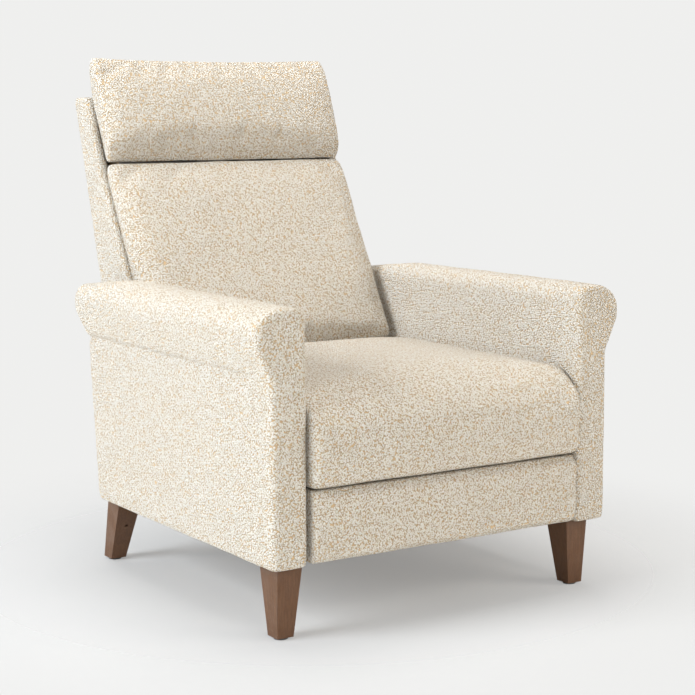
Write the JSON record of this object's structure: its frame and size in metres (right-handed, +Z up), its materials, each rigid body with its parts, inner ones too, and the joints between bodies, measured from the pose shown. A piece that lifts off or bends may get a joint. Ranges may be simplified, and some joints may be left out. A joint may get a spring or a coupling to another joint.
{
  "type": "recliner armchair",
  "caption": "Upholstered recliner armchair with rolled arms, a tilting padded back and head cushion, and a footrest that folds out on a steel linkage.",
  "frame": {"origin": "on the floor under the centre of the chair's plan box", "axes": "+Z up, +X to the right of someone facing the chair's front from -Y, so the chair faces -Y; back upright and footrest folded"},
  "size_m": [0.825, 0.989, 1.052],
  "materials": {
    "boucle": "nubby boucle",
    "walnut": "satin stained",
    "frame_wood": "raw",
    "zinc_steel": "zinc plated",
    "black_steel": "satin black",
    "webbing": "woven",
    "glide": "matte"
  },
  "bodies": {
    "base": {"arm_cover_left": "boucle", "arm_cover_right": "boucle", "arm_frame_left": "frame_wood", "arm_frame_right": "frame_wood", "arm_front_left": "boucle", "arm_front_right": "boucle", "leg_front_left": "walnut", "leg_front_right": "walnut", "leg_rear_left": "walnut", "leg_rear_right": "walnut", "glide_front_left": "glide", "glide_front_right": "glide", "glide_rear_left": "glide", "glide_rear_right": "glide", "leg_bolts": "zinc_steel", "arm_bolts": "zinc_steel", "base_rail_left": "frame_wood", "base_rail_right": "frame_wood", "base_cross_rail": "frame_wood", "base_rear_rail": "boucle", "base_plate_left": "black_steel", "base_plate_right": "black_steel"},
    "rear_swing": {"rear_swing_link_left": "zinc_steel", "rear_swing_link_right": "zinc_steel"},
    "front_swing": {"front_swing_link_left": "zinc_steel", "front_swing_link_right": "zinc_steel"},
    "seat": {"seat_plate_left": "black_steel", "seat_plate_right": "black_steel", "seat_rail_left": "frame_wood", "seat_rail_right": "frame_wood", "seat_front_rail": "frame_wood", "seat_rear_rail": "frame_wood", "seat_springs": "zinc_steel", "spring_clips": "black_steel", "seat_cushion": "boucle"},
    "back": {"back_stile_left": "frame_wood", "back_stile_right": "frame_wood", "back_bottom_rail": "frame_wood", "back_middle_rail": "frame_wood", "back_top_rail": "frame_wood", "back_webbing": "webbing", "back_bracket_left": "black_steel", "back_bracket_right": "black_steel", "outer_back": "boucle", "back_cushion": "boucle", "head_cushion": "boucle"},
    "drive_links": {"drive_link_left": "zinc_steel", "drive_link_right": "zinc_steel", "torque_tube": "black_steel"},
    "idler_links": {"idler_link_left": "zinc_steel", "idler_link_right": "zinc_steel"},
    "long_links": {"long_link_left": "zinc_steel", "long_link_right": "zinc_steel"},
    "stay_links": {"stay_link_left": "zinc_steel", "stay_link_right": "zinc_steel"},
    "footrest": {"footrest_bracket_left": "black_steel", "footrest_bracket_right": "black_steel", "footrest_board": "frame_wood", "footrest_pad": "boucle"}
  },
  "joints": [
    {"name": "rear_swing", "type": "hinge", "parent": "base", "child": "rear_swing", "pos_m": [0, 0.07681, 0.165], "axis": [1, 0, 0], "range_deg": [0, 45]},
    {"name": "front_swing", "type": "hinge", "parent": "base", "child": "front_swing", "pos_m": [0, -0.2055, 0.165], "axis": [1, 0, 0], "range_deg": [0, 45]},
    {"name": "seat_glide", "type": "hinge", "parent": "rear_swing", "child": "seat", "pos_m": [0, 0.12269, 0.23053], "axis": [-1, 0, 0], "range_deg": [0, 45]},
    {"name": "back_recline", "type": "hinge", "parent": "seat", "child": "back", "pos_m": [0, 0.22681, 0.265], "axis": [-1, 0, 0], "range_deg": [0, 30]},
    {"name": "footrest_open", "type": "hinge", "parent": "seat", "child": "drive_links", "pos_m": [0, -0.4075, 0.258], "axis": [-1, 0, 0], "range_deg": [0, 140]},
    {"name": "idler_turn", "type": "hinge", "parent": "seat", "child": "idler_links", "pos_m": [0, -0.34172, 0.23406], "axis": [-1, 0, 0], "range_deg": [0, 140]},
    {"name": "long_link_turn", "type": "hinge", "parent": "drive_links", "child": "long_links", "pos_m": [0, -0.28493, 0.15515], "axis": [1, 0, 0], "range_deg": [0, 140]},
    {"name": "panel_tip", "type": "hinge", "parent": "long_links", "child": "footrest", "pos_m": [0, -0.4215, 0.264], "axis": [-1, 0, 0], "range_deg": [0, 90]},
    {"name": "stay_turn", "type": "hinge", "parent": "drive_links", "child": "stay_links", "pos_m": [0, -0.26218, 0.12989], "axis": [1, 0, 0], "range_deg": [0, 143.54]}
  ],
  "couplings": [
    {"joint": "rear_swing", "follows": "back_recline", "ratio": 1.5},
    {"joint": "front_swing", "follows": "back_recline", "ratio": 1.5},
    {"joint": "seat_glide", "follows": "back_recline", "ratio": 1.5},
    {"joint": "idler_turn", "follows": "footrest_open", "ratio": 1},
    {"joint": "long_link_turn", "follows": "footrest_open", "ratio": 1},
    {"joint": "panel_tip", "follows": "footrest_open", "ratio": 0.64286},
    {"joint": "stay_turn", "follows": "footrest_open", "ratio": 1.0253}
  ]
}
